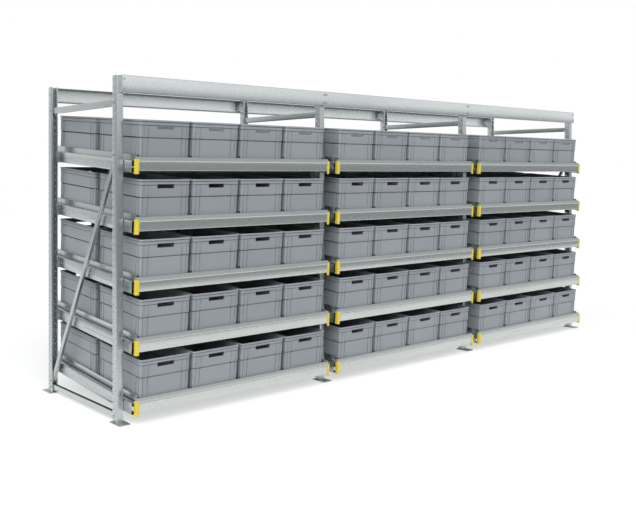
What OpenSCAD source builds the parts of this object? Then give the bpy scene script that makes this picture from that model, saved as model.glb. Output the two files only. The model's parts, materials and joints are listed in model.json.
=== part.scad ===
// Flow rack for plastic bins: three bays of inclined roller lanes between bolted upright frames.
// The origin is on the floor under the middle of the rack. The front, where bins are taken, faces -Y.

/* [Rack] */
// Bays side by side
bay_count = 3; // [1:1:3]
// Inclined tiers in each bay
tier_count = 5; // [1:1:5]
// Lanes side by side in each bay
lane_count = 4; // [1:1:4]
// Bins one behind the other in each lane
bins_deep = 2; // [1:1:2]
// Reach of the shelves in front of the uprights
front_overhang = 136; // [120:1:160]
// Reach of the shelves behind the uprights
rear_overhang = 110; // [40:1:120]
// Hole of the outer column, counted from the floor, that the lowest shelf hangs from
first_hole = 2; // [2:1:4]
// Whole hole pitches that the rear of a shelf hangs above its front, besides the half pitch of the stagger
rise_holes = 1; // [1:1:2]
// Least clear height over the bins of a tier
head_room = 24; // [20:1:60]
// Height of the uprights above the shelf hole of one more tier
top_space = 206.5; // [180:0.5:300]

/* [Uprights] */
// Face width of an upright
post_w = 50; // [46:1:60]
// Depth of an upright
post_d = 60; // [56:1:80]
// Sheet thickness of an upright
post_t = 2; // [1.5:0.5:3]
// Lip turned in along the open side of an upright
post_lip = 10; // [6:0.5:10]
// Pitch of the holes in a column, the inner column half a pitch above the outer one
hole_pitch = 50; // [40:5:60]
// Height of the lowest hole
lowest_hole = 18.5; // [16:0.5:24]
// Diameter of the holes for bolts
hole_d = 9; // [8.5:0.5:10]
// Distance of each column of holes from the edge of its wall
column_inset = 19; // [16:1:22]
// Thickness of a base plate
plate_t = 6; // [4:1:10]
// Width of a base plate
plate_w = 84; // [76:1:120]
// Reach of a base plate in front of its upright
plate_reach = 70; // [60:1:90]
// Reach of a base plate behind its upright
plate_heel = 10; // [4:1:30]
// Diameter of the anchor holes
anchor_d = 13; // [9:1:18]
// Spacing of the two anchor holes
anchor_spacing = 48; // [40:1:50]
// Distance of the anchor holes in front of the upright
anchor_reach = 45; // [30:1:50]

/* [Braces and beams] */
// Width of a brace, between the lips of the upright
brace_w = 26; // [20:1:26]
// Height of a horizontal brace
brace_h = 45; // [30:1:45]
// Height of a diagonal brace
diagonal_h = 30; // [24:1:32]
// Sheet thickness of the braces and beams
sheet_t = 2; // [1.5:0.5:3]
// Length of a brace past its bolt
brace_tail = 20; // [14:1:24]
// Height of a top beam
top_beam_h = 115; // [90:1:140]
// Depth of a top beam
top_beam_d = 38; // [30:1:60]
// Lip turned in along both flanges of a top beam
top_beam_lip = 14; // [8:1:16]
// Gap between two top beams that meet on an upright
seam = 1; // [0.5:0.5:4]
// Distance of the top beam's bolts from its ends
beam_bolt_end = 12; // [11:1:14]
// Distance of the top beam's bolts from its edges
beam_bolt_edge = 25; // [24:1:35]

/* [Shelves] */
// Height of the side channels, and of the front face's upper edge over their underside
shelf_h = 80; // [76:1:90]
// Width of a side channel
channel_w = 31; // [28:1:40]
// Lip turned in along both flanges of a side channel
channel_lip = 12; // [8:1:16]
// Diameter of the row of holes along a side channel
row_hole_d = 10; // [6:0.5:12]
// Whole pitches of the row between the shelf's bolts
row_steps = 28; // [12:1:32]
// Depth of the front and rear beams of a shelf
beam_d = 30; // [26:1:40]
// Height of the beams' foot over the underside of the side channels
foot_z = 13; // [6:1:16]
// Height of the slanted stop lip over the front face
stop_h = 28; // [20:1:34]
// Flat top of the stop lip
stop_flat = 6; // [5:0.5:10]
// Height that the rear beam of a shelf stays below the bins
rear_drop = 5; // [3:1:12]
// Return at the foot of the front and rear beams
beam_return = 12; // [6:1:14]
// Length of the ledge that carries the lane rails
ledge_l = 28; // [20:1:32]
// Height of the ledge over the underside of the side channels
ledge_z = 36; // [34:1:40]
// Clearance of the ledge from the side channels
ledge_clear = 1; // [0.5:0.5:2]
// Distance of the beam ends from the centre of the upright
beam_inset = 46; // [32:1:52]
// Length of an end cap along the front face
cap_l = 24; // [16:1:60]
// Height of an end cap
cap_h = 100; // [80:1:110]
// Reach of an end cap below the underside of the side channels
cap_drop = 7; // [0:1:12]
// Wall of an end cap
cap_t = 2; // [1.5:0.5:3]
// Thickness of a shelf bracket
bracket_t = 3; // [2:0.5:5]
// Length of a shelf bracket
bracket_l = 44; // [32:1:60]
// Height of a shelf bracket over the underside of the side channels
bracket_h = 60; // [52:1:72]
// Height of the shelf's bolts and the row of holes over the underside of the side channels
bolt_z = 36; // [30:1:44]

/* [Lanes] */
// Width of a lane rail
rail_w = 16; // [14:0.5:20]
// Height of a lane rail over the rollers' axis, where it guides the bins
guide_rise = 50; // [36:1:56]
// Sheet thickness of a lane rail
rail_t = 1.5; // [1:0.5:2]
// Clearance of the outer lane rails from the side channels
rail_side = 7; // [2:0.5:20]
// Clearance of the lane rails' ends from the beams
rail_end = 2; // [0.5:0.5:4]
// Diameter of a roller
roller_d = 28; // [24:1:30]
// Height of the rollers' axis over the ledge
axis_rise = 34; // [26:1:36]
// Pitch of the rollers along a lane
roller_pitch = 225; // [150:5:250]
// Distance of the first roller from the front face
first_roller = 90; // [80:1:120]
// Diameter of a roller's stub axles
axle_d = 8; // [6:0.5:10]
// Running clearance of the axles in the holes of the lane rails
axle_clear = 0.8; // [0.6:0.1:1.2]
// Clearance of a roller's ends from the lane rails
roller_end = 3; // [1.5:0.5:5]
// Distance of the axles' ends from the middle of the lane rail
axle_end = 3; // [1:0.5:4]

/* [Bins] */
// Width of a bin
bin_w = 400; // [300:1:420]
// Length of a bin
bin_l = 600; // [500:1:640]
// Height of a bin
bin_h = 270; // [180:1:320]
// Wall of a bin
bin_t = 3; // [2:0.5:4]
// Corner radius of a bin's rim
bin_r = 15; // [14:0.5:16]
// Height of the rim band
rim_h = 12; // [8:1:20]
// Distance of the upper wall inside the rim
upper_inset = 6; // [4:0.5:10]
// Distance of the lower wall inside the upper wall
lower_inset = 4; // [2:0.5:6]
// Height of the step between the lower and the upper wall
step_z = 152; // [90:1:160]
// Thickness of a bin's floor
bin_floor = 4; // [3:0.5:6]
// Width of the two runners under a bin
runner_w = 24; // [12:1:40]
// Height of the runners
runner_h = 6; // [4:0.5:10]
// Spacing of the runners
runner_spacing = 220; // [160:5:280]
// Distance from the ends of a runner to the ends of its bin
runner_end = 30; // [20:1:60]
// Width of a hand slot
slot_w = 130; // [90:1:140]
// Height of a hand slot
slot_h = 28; // [20:1:30]
// Distance of a hand slot below the rim
slot_drop = 32; // [24:1:40]
// Gap between two lanes of bins
lane_gap = 13; // [10:0.5:30]
// Gap between bins in a lane, as they are loaded
bin_gap = 66; // [1:1:80]
// Gap between a bin and the stop lip
stop_gap = 0.5; // [0.3:0.1:2]
// Gap between the bins and the top of the rollers
ride_gap = 0.8; // [0.6:0.1:1.2]
// Room behind the last bin, up to the rear face of the shelf
rear_room = 44; // [34:1:120]

/* [Fasteners] */
// Diameter of the bolts
bolt_d = 8; // [6:0.5:8]
// Width of the bolt heads and nuts over their corners
hex_w = 15; // [12:0.5:16]
// Height of the bolt heads
head_h = 5.5; // [4:0.5:6]
// Height of the nuts
nut_h = 6.5; // [5:0.5:7]
// Length of a bolt past its nut
bolt_tail = 2; // [1:0.5:4]

/* [Hidden] */
$fn = 32;
steel = [0.77, 0.79, 0.8];
steel_light = [0.83, 0.84, 0.83];
zinc = [0.7, 0.72, 0.74];
bin_grey = [0.56, 0.59, 0.64];
cap_yellow = [0.93, 0.82, 0.2];
roller_grey = [0.35, 0.36, 0.38];
cut = 1;

lane_pitch = bin_w + lane_gap;
channel_x = post_w / 2 + bracket_t;
channel_far = channel_x + channel_w;
side_space = channel_far + rail_side + rail_w / 2;
bay_w = lane_count * lane_pitch + 2 * side_space;
stop_y = beam_d + stop_gap;
bin_step = bin_l + bin_gap;
shelf_l = stop_y + bins_deep * bin_step - bin_gap + rear_room;
frame_d = shelf_l - front_overhang - rear_overhang;
inner_column = post_d - column_inset;
rise = (rise_holes + 0.5) * hole_pitch;
hole_run = frame_d - column_inset - inner_column;
tilt = atan(rise / hole_run);

axis_z = ledge_z + axis_rise;
guide_z = axis_z + guide_rise;
bin_z = axis_z + roller_d / 2 + ride_gap;
rear_h = bin_z - rear_drop;
tier_holes = ceil((bin_z + bin_h + head_room) / hole_pitch);
top_hole = first_hole + tier_count * tier_holes;
rack_h = outer_hole_z(top_hole) + top_space;
hole_count = floor((rack_h - lowest_hole) / hole_pitch);
low_brace_hole = 0;
low_diagonal_hole = 1;
high_diagonal_hole = top_hole - tier_holes + 1;
top_brace_hole = top_hole;
beam_bolt_heights = [rack_h - beam_bolt_edge, rack_h - top_beam_h + beam_bolt_edge];

bolt_front_y = (front_overhang + column_inset) / cos(tilt);
bolt_rear_y = bolt_front_y + hole_run / cos(tilt);
row_pitch = (bolt_rear_y - bolt_front_y) / row_steps;
row_front = floor((bolt_front_y - beam_d - row_hole_d) / row_pitch);
row_rear = floor((shelf_l - beam_d - row_hole_d - bolt_rear_y) / row_pitch);
front_reach = cap_t * cos(tilt) + (cap_h - cap_drop) * sin(tilt);
rear_reach = shelf_l * cos(tilt) - foot_z * sin(tilt);
shelf_y = (front_reach - rear_reach) / 2;
front_y = shelf_y - column_inset + bolt_front_y * cos(tilt) - bolt_z * sin(tilt);
rear_y = front_y + frame_d;
brace_front_y = front_y + inner_column;
brace_rear_y = rear_y - inner_column;
roller_count = floor((shelf_l - 2 * first_roller) / roller_pitch) + 1;
roller_l = lane_pitch - rail_w - 2 * roller_end;
axle_l = lane_pitch - 2 * axle_end;
axle_hole_d = axle_d + 2 * axle_clear;
cavity_inset = upper_inset + lower_inset + bin_t;
cavity_w = bin_w - 2 * cavity_inset;
cavity_l = bin_l - 2 * cavity_inset;
cavity_z = runner_h + bin_floor;

function outer_hole_z(n) = lowest_hole + hole_pitch * n;
function inner_hole_z(n) = lowest_hole + hole_pitch * (n + 0.5);
function frame_x(f) = (f - bay_count / 2) * bay_w;
function shelf_z(tier) =
    outer_hole_z(first_hole + tier * tier_holes) - bolt_front_y * sin(tilt) - bolt_z * cos(tilt);
function lane_x(lane) = side_space + (lane + 0.5) * lane_pitch;
function rail_x(rail) = side_space + rail * lane_pitch;
function roller_y(row) = first_roller + row * roller_pitch;

// A folded sheet: its path, then back along the same path one thickness to the right, mitred at the folds
function unit(v) = v / norm(v);
function right_of(v) = [v[1], -v[0]];
function leg_normal(path, i) = right_of(unit(path[i + 1] - path[i]));
function fold_point(path, i, t) =
    let (before = leg_normal(path, max(i - 1, 0)))
    let (after = leg_normal(path, min(i, len(path) - 2)))
    let (middle = unit(before + after))
    path[i] + middle * t / (middle * before);
function sheet(path, t) =
    concat(path, [for (i = [len(path) - 1 : -1 : 0]) fold_point(path, i, t)]);

FRAME_NODES = ["front_uprights", "rear_uprights", "base_plates", "horizontal_braces", "diagonal_braces",
    "frame_bolts", "top_front_beams", "top_rear_beams"];
SHELF_NODES = ["shelf_side_channels", "shelf_front_beams", "shelf_rear_beams", "shelf_end_caps",
    "shelf_brackets", "shelf_bolts", "lane_rails"];
ROLLER_NODES = [for (t = [1 : tier_count]) for (r = [1 : roller_count]) roller_name(t, r)];
BIN_NODES = [for (b = [1 : bay_count]) for (t = [1 : tier_count]) bin_name(b, t)];

function roller_name(tier, row) = str("rollers_tier_", tier, "_row_", row);
function bin_name(bay, tier) = str("bins_bay_", bay, "_tier_", tier);

module along_x(length) {
    rotate([90, 0, 90]) linear_extrude(length) children();
}

module along_y(length) {
    translate([0, length, 0]) rotate([90, 0, 0]) linear_extrude(length) children();
}

module at_frames() {
    for (f = [0 : bay_count]) translate([frame_x(f), 0, 0]) children();
}

module at_bays() {
    for (b = [0 : bay_count - 1]) translate([frame_x(b), 0, 0]) children();
}

// The uprights' own frame: Y from the outer face of the upright inwards, the rear one mirrored
module at_front() {
    translate([0, front_y, 0]) children();
}

module at_rear() {
    translate([0, rear_y, 0]) mirror([0, 1, 0]) children();
}

// A shelf's own frame: X from the left upright's centre, Y up the lane, Z square to the lane
module on_tier(tier) {
    translate([0, shelf_y, shelf_z(tier)]) rotate([tilt, 0, 0]) children();
}

module at_shelves() {
    at_bays() for (tier = [0 : tier_count - 1]) on_tier(tier) children();
}

// Both ends of a bay, the right-hand one mirrored
module both_sides() {
    children();
    translate([bay_w, 0, 0]) mirror([1, 0, 0]) children();
}

// A bolt along X with its head before zero and its nut after the grip
module bolt(grip) {
    rotate([0, 90, 0]) {
        translate([0, 0, -head_h]) cylinder(h = head_h, d = hex_w, $fn = 6);
        cylinder(h = grip + nut_h + bolt_tail, d = bolt_d);
        translate([0, 0, grip]) cylinder(h = nut_h, d = hex_w, $fn = 6);
    }
}

// The drilled hole of a bolt along X
module bolt_hole(length) {
    translate([-length / 2, 0, 0]) rotate([0, 90, 0]) cylinder(h = length, d = hole_d);
}

module upright_wall() {
    along_x(post_t) difference() {
        translate([0, plate_t]) square([post_d, rack_h - plate_t]);
        for (n = [0 : hole_count - 1]) {
            translate([column_inset, outer_hole_z(n)]) circle(d = hole_d);
            translate([inner_column, inner_hole_z(n)]) circle(d = hole_d);
        }
    }
}

// One side of an upright's section: the drilled wall and the lip on its inner edge
module upright_side() {
    translate([post_w / 2 - post_t, 0, 0]) upright_wall();
    translate([post_w / 2 - post_lip, post_d - post_t, plate_t])
        cube([post_lip - post_t, post_t, rack_h - plate_t]);
}

module upright() {
    face_w = post_w - 2 * post_t;
    upright_side();
    mirror([1, 0, 0]) upright_side();
    along_y(post_t) difference() {
        translate([-face_w / 2, plate_t]) square([face_w, rack_h - plate_t]);
        for (x = [-beam_bolt_end, beam_bolt_end])
            for (z = beam_bolt_heights) translate([x, z]) circle(d = hole_d);
    }
}

module front_uprights() {
    color(steel) at_frames() at_front() upright();
}

module rear_uprights() {
    color(steel) at_frames() at_rear() upright();
}

module base_plate() {
    linear_extrude(plate_t) difference() {
        translate([-plate_w / 2, -plate_reach]) square([plate_w, plate_reach + post_d + plate_heel]);
        for (x = [-anchor_spacing / 2, anchor_spacing / 2])
            translate([x, -anchor_reach]) circle(d = anchor_d);
    }
}

module base_plates() {
    color(steel) at_frames() {
        at_front() base_plate();
        at_rear() base_plate();
    }
}

// A brace of U-section along Y, drilled at both ends, with Y = 0 at its first bolt
module brace(length, height) {
    half = brace_w / 2;
    path = [[half, height / 2], [half, -height / 2], [-half, -height / 2], [-half, height / 2]];
    difference() {
        translate([0, -brace_tail, 0]) along_y(length + 2 * brace_tail) polygon(sheet(path, sheet_t));
        for (y = [0, length]) translate([0, y, 0]) bolt_hole(brace_w + 2 * cut);
    }
}

module horizontal_braces() {
    color(steel) at_frames()
        for (n = [low_brace_hole, top_brace_hole])
            translate([0, brace_front_y, inner_hole_z(n)]) brace(brace_rear_y - brace_front_y, brace_h);
}

module diagonal_braces() {
    run = brace_front_y - brace_rear_y;
    climb = inner_hole_z(high_diagonal_hole) - inner_hole_z(low_diagonal_hole);
    color(steel) at_frames()
        translate([0, brace_rear_y, inner_hole_z(low_diagonal_hole)])
            rotate([atan2(climb, run), 0, 0]) brace(norm([run, climb]), diagonal_h);
}

module brace_bolt(y, hole) {
    translate([-post_w / 2, y, inner_hole_z(hole)]) bolt(post_w);
}

module beam_end_bolts() {
    for (z = beam_bolt_heights)
        translate([beam_bolt_end, -top_beam_d, z]) rotate([0, 0, 90]) bolt(top_beam_d + post_t);
}

module frame_bolts() {
    color(zinc) {
        at_frames() {
            for (n = [low_brace_hole, top_brace_hole]) {
                brace_bolt(brace_front_y, n);
                brace_bolt(brace_rear_y, n);
            }
            brace_bolt(brace_rear_y, low_diagonal_hole);
            brace_bolt(brace_front_y, high_diagonal_hole);
        }
        at_bays() both_sides() {
            at_front() beam_end_bolts();
            at_rear() beam_end_bolts();
        }
    }
}

// A top beam of C-section, its open side against the uprights
module top_beam() {
    path = [
        [0, top_beam_lip],
        [0, 0],
        [-top_beam_d, 0],
        [-top_beam_d, top_beam_h],
        [0, top_beam_h],
        [0, top_beam_h - top_beam_lip]
    ];
    difference() {
        translate([seam / 2, 0, rack_h - top_beam_h]) along_x(bay_w - seam) polygon(sheet(path, sheet_t));
        both_sides() for (z = beam_bolt_heights)
            translate([beam_bolt_end, -top_beam_d, z]) rotate([0, 0, 90]) bolt_hole(2 * (sheet_t + cut));
    }
}

module top_front_beams() {
    color(steel_light) at_bays() at_front() top_beam();
}

module top_rear_beams() {
    color(steel_light) at_bays() at_rear() top_beam();
}

// A channel of C-section, open to the lanes, whose row of holes takes the shelf's bolts
module side_channel() {
    path = [
        [channel_far, channel_lip],
        [channel_far, 0],
        [channel_x, 0],
        [channel_x, shelf_h],
        [channel_far, shelf_h],
        [channel_far, shelf_h - channel_lip]
    ];
    difference() {
        translate([0, beam_d, 0]) along_y(shelf_l - 2 * beam_d) polygon(sheet(path, sheet_t));
        for (i = [-row_front : row_steps + row_rear])
            translate([channel_x - cut, bolt_front_y + i * row_pitch, bolt_z]) rotate([0, 90, 0])
                cylinder(h = sheet_t + 2 * cut, d = row_hole_d);
    }
}

module shelf_side_channels() {
    color(steel) at_shelves() both_sides() side_channel();
}

// A shelf beam along X with its ledge cut back to clear the side channels
module shelf_beam(path) {
    beam_l = bay_w - 2 * beam_inset;
    difference() {
        translate([beam_inset, 0, 0]) along_x(beam_l) polygon(sheet(path, sheet_t));
        both_sides() translate([0, beam_d, 0]) cube([channel_far + ledge_clear, ledge_l + cut, ledge_z + cut]);
    }
}

// The front beam's upper edge leans back to a stop lip and runs down to the ledge
module shelf_front_beams() {
    path = [
        [beam_d, foot_z + beam_return],
        [beam_d, foot_z],
        [0, foot_z],
        [0, shelf_h],
        [beam_d - stop_flat, shelf_h + stop_h],
        [beam_d, shelf_h + stop_h],
        [beam_d, ledge_z],
        [beam_d + ledge_l, ledge_z]
    ];
    color(steel_light) at_shelves() shelf_beam(path);
}

// The rear beam stays below the bins, which are loaded over it
module shelf_rear_beams() {
    path = [
        [beam_d, foot_z + beam_return],
        [beam_d, foot_z],
        [0, foot_z],
        [0, rear_h],
        [beam_d, rear_h],
        [beam_d, ledge_z],
        [beam_d + ledge_l, ledge_z]
    ];
    color(steel_light) at_shelves() translate([0, shelf_l, 0]) mirror([0, 1, 0]) shelf_beam(path);
}

// An angle cap that covers the end of a front beam and the end of its face
module shelf_end_caps() {
    path = [[beam_inset, beam_d - cap_t], [beam_inset, 0], [beam_inset - cap_t + cap_l, 0]];
    color(cap_yellow) at_shelves() both_sides()
        translate([0, 0, -cap_drop]) linear_extrude(cap_h) polygon(sheet(path, cap_t));
}

// An angle between the upright and the side channel, its foot under the channel
module shelf_bracket(y) {
    path = [[channel_x, bracket_h], [channel_x, 0], [channel_far, 0]];
    difference() {
        translate([0, y - bracket_l / 2, 0]) along_y(bracket_l) polygon(sheet(path, bracket_t));
        translate([channel_x, y, bolt_z]) bolt_hole(2 * (bracket_t + cut));
    }
}

module shelf_brackets() {
    color(zinc) at_shelves() both_sides() {
        shelf_bracket(bolt_front_y);
        shelf_bracket(bolt_rear_y);
    }
}

module shelf_bolts() {
    color(zinc) at_shelves() both_sides()
        for (y = [bolt_front_y, bolt_rear_y])
            translate([channel_x + sheet_t, y, bolt_z]) mirror([1, 0, 0])
                bolt(sheet_t + bracket_t + post_t);
}

// A rail between two lanes: an inverted U, drilled for the axles, whose upper part guides the bins
module lane_rail() {
    half = rail_w / 2;
    start = beam_d + rail_end;
    path = [[half, ledge_z], [half, guide_z], [-half, guide_z], [-half, ledge_z]];
    difference() {
        translate([0, start, 0]) along_y(shelf_l - 2 * start) polygon(sheet(path, -rail_t));
        for (row = [0 : roller_count - 1])
            translate([-half - cut, roller_y(row), axis_z]) rotate([0, 90, 0])
                cylinder(h = rail_w + 2 * cut, d = axle_hole_d);
    }
}

module lane_rails() {
    color(steel) at_shelves()
        for (rail = [0 : lane_count]) translate([rail_x(rail), 0, 0]) lane_rail();
}

// A moulded roller with stub axles, turned about X
module roller() {
    rotate([0, 90, 0]) {
        cylinder(h = roller_l, d = roller_d, center = true);
        cylinder(h = axle_l, d = axle_d, center = true);
    }
}

// The rollers on one axis line, across all lanes and bays of a tier
module roller_row(tier, row) {
    color(roller_grey) at_bays() on_tier(tier)
        for (lane = [0 : lane_count - 1])
            translate([lane_x(lane), roller_y(row), axis_z]) roller();
}

// A rectangle with round corners, as much smaller than the rim as the inset says
module bin_outline(inset) {
    w = bin_w - 2 * inset;
    l = bin_l - 2 * inset;
    r = max(bin_r - inset, 1);
    square([w - 2 * r, l], center = true);
    square([w, l - 2 * r], center = true);
    for (x = [r - w / 2, w / 2 - r])
        for (y = [r - l / 2, l / 2 - r])
            translate([x, y]) circle(r);
}

// A stacking bin: a stepped wall under a projecting rim, with a hand slot in each short side and two runners below
module bin() {
    difference() {
        union() {
            for (x = [-runner_spacing / 2, runner_spacing / 2])
                translate([x - runner_w / 2, runner_end - bin_l / 2, 0])
                    cube([runner_w, bin_l - 2 * runner_end, cavity_z - bin_floor / 2]);
            translate([0, 0, runner_h]) linear_extrude(step_z - runner_h) bin_outline(upper_inset + lower_inset);
            translate([0, 0, step_z]) linear_extrude(bin_h - step_z - rim_h) bin_outline(upper_inset);
            translate([0, 0, bin_h - rim_h]) linear_extrude(rim_h) bin_outline(0);
        }
        translate([-cavity_w / 2, -cavity_l / 2, cavity_z]) cube([cavity_w, cavity_l, bin_h]);
        translate([-slot_w / 2, -bin_l / 2 - cut, bin_h - slot_drop - slot_h])
            cube([slot_w, bin_l + 2 * cut, slot_h]);
    }
}

// The bins of one bay and tier, which run down to the stop lip
module bin_group(bay, tier) {
    color(bin_grey) translate([frame_x(bay), 0, 0]) on_tier(tier)
        for (lane = [0 : lane_count - 1])
            for (place = [0 : bins_deep - 1])
                translate([lane_x(lane), stop_y + bin_l / 2 + place * bin_step, bin_z]) bin();
}

front_uprights();
rear_uprights();
base_plates();
horizontal_braces();
diagonal_braces();
frame_bolts();
top_front_beams();
top_rear_beams();
shelf_side_channels();
shelf_front_beams();
shelf_rear_beams();
shelf_end_caps();
shelf_brackets();
shelf_bolts();
lane_rails();
for (t = [1 : tier_count])
    for (r = [1 : roller_count])
        roller_row(t - 1, r - 1);
for (b = [1 : bay_count])
    for (t = [1 : tier_count])
        bin_group(b - 1, t - 1);
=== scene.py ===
import json
from itertools import product
from math import atan2, cos, hypot, pi, radians, sin

import bmesh
import bpy
import numpy as np
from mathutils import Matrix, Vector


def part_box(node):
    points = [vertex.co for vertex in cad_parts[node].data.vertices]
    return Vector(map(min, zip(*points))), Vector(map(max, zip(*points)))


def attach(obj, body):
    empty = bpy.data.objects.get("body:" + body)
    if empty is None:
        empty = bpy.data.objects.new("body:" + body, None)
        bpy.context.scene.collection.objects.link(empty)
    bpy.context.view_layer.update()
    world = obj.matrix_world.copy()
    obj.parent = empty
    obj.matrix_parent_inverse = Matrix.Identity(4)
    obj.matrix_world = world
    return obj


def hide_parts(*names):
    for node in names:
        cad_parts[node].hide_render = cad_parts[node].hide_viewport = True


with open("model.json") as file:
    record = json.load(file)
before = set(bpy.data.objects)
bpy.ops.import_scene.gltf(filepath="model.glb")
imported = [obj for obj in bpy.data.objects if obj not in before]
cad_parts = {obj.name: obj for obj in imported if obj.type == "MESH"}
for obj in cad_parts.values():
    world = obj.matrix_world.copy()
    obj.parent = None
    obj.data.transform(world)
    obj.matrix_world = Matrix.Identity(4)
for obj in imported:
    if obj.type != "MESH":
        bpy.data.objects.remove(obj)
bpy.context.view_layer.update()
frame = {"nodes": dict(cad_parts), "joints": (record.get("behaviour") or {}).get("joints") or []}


# Base plates: flat steel plates under the feet of the uprights, each with two holes for floor anchors.
# They are cut from thick plate, welded on and galvanised in a bath, so they are duller and darker than
# the rolled sheet of the other pieces.
plate_colour, plate_grain = (186, 189, 189), (9.0, 9.0, 9.0)
# Shares of crystals, clouds and specks in the tone of a zinc coat, and of crystals and specks in its relief
crystal_tone, cloud_tone, speck_tone = 0.2, 0.68, 0.12
crystal_relief, speck_relief, speck_scale = 0.4, 0.6, 900.0
# Share of the colour left where the inner side of a folded piece is painted dark as shade
painted_shade_share = 0.2


def screen_colour(red, green, blue):
    """A colour given as screen values from 0 to 255, turned into linear light with full opacity."""
    share = np.array([red, green, blue]) / 255
    light = np.where(share > 0.04045, ((share + 0.055) / 1.055) ** 2.4, share / 12.92)
    return (*light.tolist(), 1.0)


def add_node(tree, kind, inputs=(), **settings):
    """A shader node with its settings. Inputs given as sockets are linked, and those given as values set."""
    node = tree.nodes.new("ShaderNode" + kind)
    for name, value in settings.items():
        setattr(node, name, value)
    for name, value in dict(inputs).items():
        if isinstance(value, bpy.types.NodeSocket):
            tree.links.new(value, node.inputs[name])
        else:
            node.inputs[name].default_value = value
    return node


def effect_group(name, inputs, outputs):
    """An empty node group with named inputs and outputs, its input node and its output node."""
    tree = bpy.data.node_groups.new(name, "ShaderNodeTree")
    for socket, kind in inputs.items():
        tree.interface.new_socket(socket, in_out="INPUT", socket_type="NodeSocket" + kind)
    for socket, kind in outputs.items():
        tree.interface.new_socket(socket, in_out="OUTPUT", socket_type="NodeSocket" + kind)
    return tree, tree.nodes.new("NodeGroupInput"), tree.nodes.new("NodeGroupOutput")


def weighted_sum(tree, terms):
    """The sum of sockets times their weights, as a chain of multiply-and-add nodes."""
    total = 0.0
    for socket, weight in terms:
        total = add_node(tree, "Math", {0: socket, 1: weight, 2: total}, operation="MULTIPLY_ADD").outputs[0]
    return total


def zinc_bloom_group():
    """Cloudy tone of a zinc coat: random crystals, clouds drawn out along the rolling, and fine specks."""
    tree, given, result = effect_group(
        "zinc_bloom",
        {"Place": "Vector", "Rolled": "Vector", "Crystals": "Float"},
        {"Tone": "Float", "Relief": "Float"},
    )
    place = given.outputs["Place"]
    crystals = add_node(tree, "TexVoronoi", {"Vector": place, "Scale": given.outputs["Crystals"]})
    facet = add_node(tree, "RGBToBW", {"Color": crystals.outputs["Color"]})
    clouds = add_node(tree, "TexNoise", {"Vector": given.outputs["Rolled"], "Scale": 1.0, "Detail": 4.0})
    specks = add_node(tree, "TexNoise", {"Vector": place, "Scale": speck_scale, "Detail": 2.0})
    facet, cloud, speck = facet.outputs[0], clouds.outputs["Fac"], specks.outputs["Fac"]
    tone = weighted_sum(tree, [(facet, crystal_tone), (cloud, cloud_tone), (speck, speck_tone)])
    relief = weighted_sum(tree, [(facet, crystal_relief), (speck, speck_relief)])
    tree.links.new(tone, result.inputs["Tone"])
    tree.links.new(relief, result.inputs["Relief"])
    return tree


zinc_bloom = zinc_bloom_group()


def mixed_colour(tree, share, first, second):
    """Two colours mixed by a share from 0 to 1."""
    return add_node(tree, "Mix", {0: share, 6: first, 7: second}, data_type="RGBA").outputs[2]


def new_material(name):
    """A material that has no nodes yet, and its node tree."""
    material = bpy.data.materials.new(name)
    material.use_nodes = True
    material.node_tree.nodes.clear()
    return material, material.node_tree


def galvanised(name, colour, grain, crystals=85.0, roughness=(0.2, 0.32), spread=0.1, metallic=0.92):
    """Zinc-coated steel: the bloom darkens and roughens the colour, and its crystals stand in slight relief.
    The inner side of a folded piece, where it is marked, gets painted shade: its colour is darkened there."""
    material, tree = new_material(name)
    place = add_node(tree, "TexCoord").outputs["Object"]
    rolled = add_node(tree, "Mapping", {"Vector": place, "Scale": grain}).outputs["Vector"]
    bloom = add_node(
        tree, "Group", {"Place": place, "Rolled": rolled, "Crystals": crystals}, node_tree=zinc_bloom
    )
    light = np.array(screen_colour(*colour))[:3]
    dark, painted_shade = (*(light * (1 - 2 * spread)), 1.0), (*(light * painted_shade_share), 1.0)
    bright = (*np.minimum(light * (1 + 2 * spread), 1.0), 1.0)
    coat = mixed_colour(tree, bloom.outputs["Tone"], dark, bright)
    # Painted shade: where a piece is marked, its colour is darkened to a small share.
    inside = add_node(tree, "Attribute", attribute_name="inside").outputs["Fac"]
    rough = add_node(
        tree, "MapRange", {"Value": bloom.outputs["Tone"], "To Min": roughness[1], "To Max": roughness[0]}
    )
    bump = add_node(tree, "Bump", {"Height": bloom.outputs["Relief"], "Strength": 0.06, "Distance": 0.0003})
    shader = add_node(
        tree,
        "BsdfPrincipled",
        {
            "Base Color": mixed_colour(tree, inside, coat, painted_shade),
            "Metallic": metallic,
            "Roughness": rough.outputs[0],
            "Normal": bump.outputs[0],
        },
    )
    add_node(tree, "OutputMaterial", {"Surface": shader.outputs[0]})
    return material


def finish_node(node, material):
    """Puts a material on a carried-over CAD node."""
    for place in frame["nodes"][node].material_slots:
        place.material = material


plate_zinc = galvanised("plate_zinc", plate_colour, plate_grain, crystals=140.0, roughness=(0.4, 0.6))
finish_node("base_plates", plate_zinc)


# Uprights: C-sections roll-formed from galvanised strip, open to the inside of the rack, with a lip
# along each open edge. Both side walls are punched with two staggered columns of bolt holes.
post_w, post_d, post_t, post_lip = 0.050, 0.060, 0.002, 0.010
# Painted shade on the uprights' inner side: full at the front, only a trace at the rear.
bend_r, inner_share, front_painted_shade, rear_painted_shade = 0.002, 0.8, 1.0, 0.05
hole_pitch, hole_r, column_inset, lowest_hole = 0.050, 0.0045, 0.019, 0.0185
hole_sides, tiny = 12, 1e-6
upright_colour, upright_grain = (190, 196, 196), (14.0, 14.0, 1.6)
front_low, front_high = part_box("front_uprights")
bay_count = 3
post_x = np.linspace(front_low.x, front_high.x - post_w, bay_count + 1) + post_w / 2
bay_w = post_x[1] - post_x[0]
front_y, rear_y = front_low.y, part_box("rear_uprights")[1].y
foot_z, rack_h = front_low.z, front_high.z


def right_of(way):
    """The unit vector square to a way in the plane, on its right."""
    return np.array([way[1], -way[0]]) / hypot(*way)


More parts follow.
